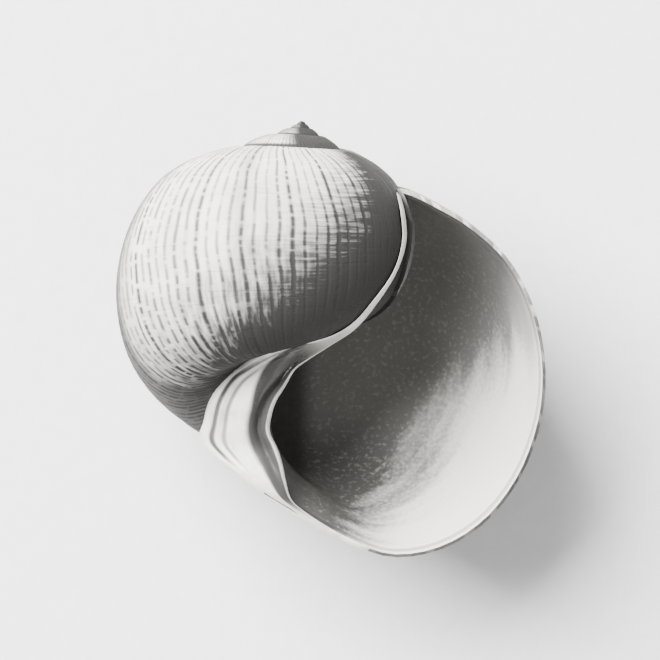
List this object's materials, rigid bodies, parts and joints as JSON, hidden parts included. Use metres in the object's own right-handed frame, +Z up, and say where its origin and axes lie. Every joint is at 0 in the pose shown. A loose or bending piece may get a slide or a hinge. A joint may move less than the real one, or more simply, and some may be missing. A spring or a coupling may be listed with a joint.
{
  "type": "globose sea-snail shell",
  "caption": "Globose sea-snail shell with a low stepped spire, a very wide half-round aperture and a broad callus beside it, lying on its back.",
  "frame": {"origin": "centre of the small flat spot on the back of the body whorl that the shell rests on", "axes": "+Z up, out of the aperture; +Y towards the apex as drawn, with the spiral's axis leaning 7 degrees from it; +X towards the outer lip"},
  "size_m": [0.0387, 0.0394, 0.0324],
  "materials": {
    "shell": "pale chalky shell with fine growth lines, smoother inside the aperture"
  },
  "bodies": {
    "root": {"shell": "shell"}
  },
  "joints": []
}
